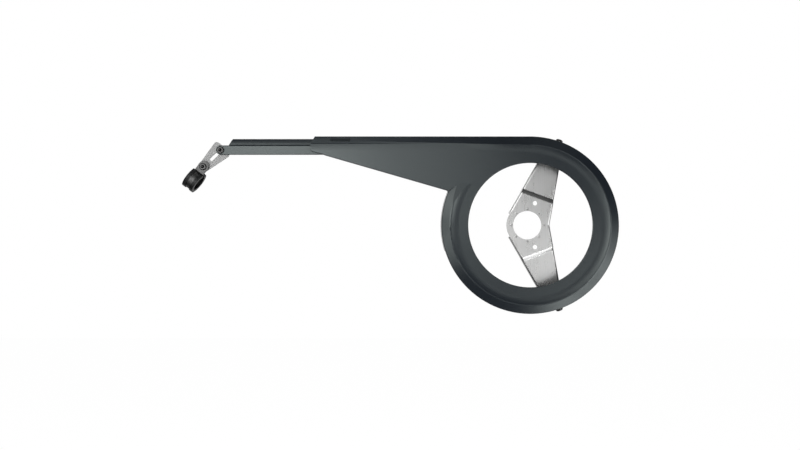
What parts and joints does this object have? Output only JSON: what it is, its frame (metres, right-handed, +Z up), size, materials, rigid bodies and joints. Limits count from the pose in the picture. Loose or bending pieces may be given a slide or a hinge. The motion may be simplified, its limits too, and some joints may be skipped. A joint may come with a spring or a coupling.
{
  "type": "bicycle chain guard",
  "caption": "Bicycle chain guard: ring cover with a tapered arm, sliding rear rail, bottom bracket plate and rubber-lined chainstay clip.",
  "frame": {"origin": "middle of the bottom bracket hole, on the face that seats on the frame", "axes": "+X to the front of the bicycle, +Z up, the outer side of the guard faces -Y"},
  "size_m": [0.5285, 0.0396, 0.2146],
  "materials": {
    "guard_cover": "satin moulded plastic",
    "extension_rail": "satin moulded plastic",
    "rim_screw_upper": "black coated steel",
    "rim_screw_lower": "black coated steel",
    "link_screw": "black coated steel",
    "clip_screw": "black coated steel",
    "bottom_bracket_plate": "zinc plated steel",
    "slotted_link": "zinc plated steel",
    "clip_band": "zinc plated steel",
    "clip_washer": "zinc plated steel",
    "rim_nut_upper": "zinc plated steel",
    "rim_nut_lower": "zinc plated steel",
    "link_nut": "zinc plated steel",
    "clip_nut": "zinc plated steel",
    "clip_liner": "matt rubber"
  },
  "bodies": {
    "guard": {"guard_cover": "guard_cover", "bottom_bracket_plate": "bottom_bracket_plate", "rim_screw_upper": "rim_screw_upper", "rim_screw_lower": "rim_screw_lower", "rim_nut_upper": "rim_nut_upper", "rim_nut_lower": "rim_nut_lower"},
    "rail": {"extension_rail": "extension_rail"},
    "pivot": {"link_screw": "link_screw", "link_nut": "link_nut"},
    "link": {"slotted_link": "slotted_link"},
    "clip": {"clip_band": "clip_band", "clip_liner": "clip_liner", "clip_screw": "clip_screw", "clip_washer": "clip_washer", "clip_nut": "clip_nut"}
  },
  "joints": [
    {"name": "rail_slide", "type": "slide", "parent": "guard", "child": "rail", "axis": [-1, 0, 0], "range_m": [-0.06, 0.03]},
    {"name": "link_swing", "type": "hinge", "parent": "rail", "child": "pivot", "pos_m": [-0.3742, -0.02303, 0.0907], "axis": [0, -1, 0], "range_deg": [-40, 18]},
    {"name": "slot_slide", "type": "slide", "parent": "pivot", "child": "link", "axis": [0.7218, 0, 0.6921], "range_m": [-0.0005, 0.0045]},
    {"name": "clip_swing", "type": "hinge", "parent": "link", "child": "clip", "pos_m": [-0.39513, -0.02073, 0.07063], "axis": [0, -1, 0], "range_deg": [-60, 60]}
  ]
}
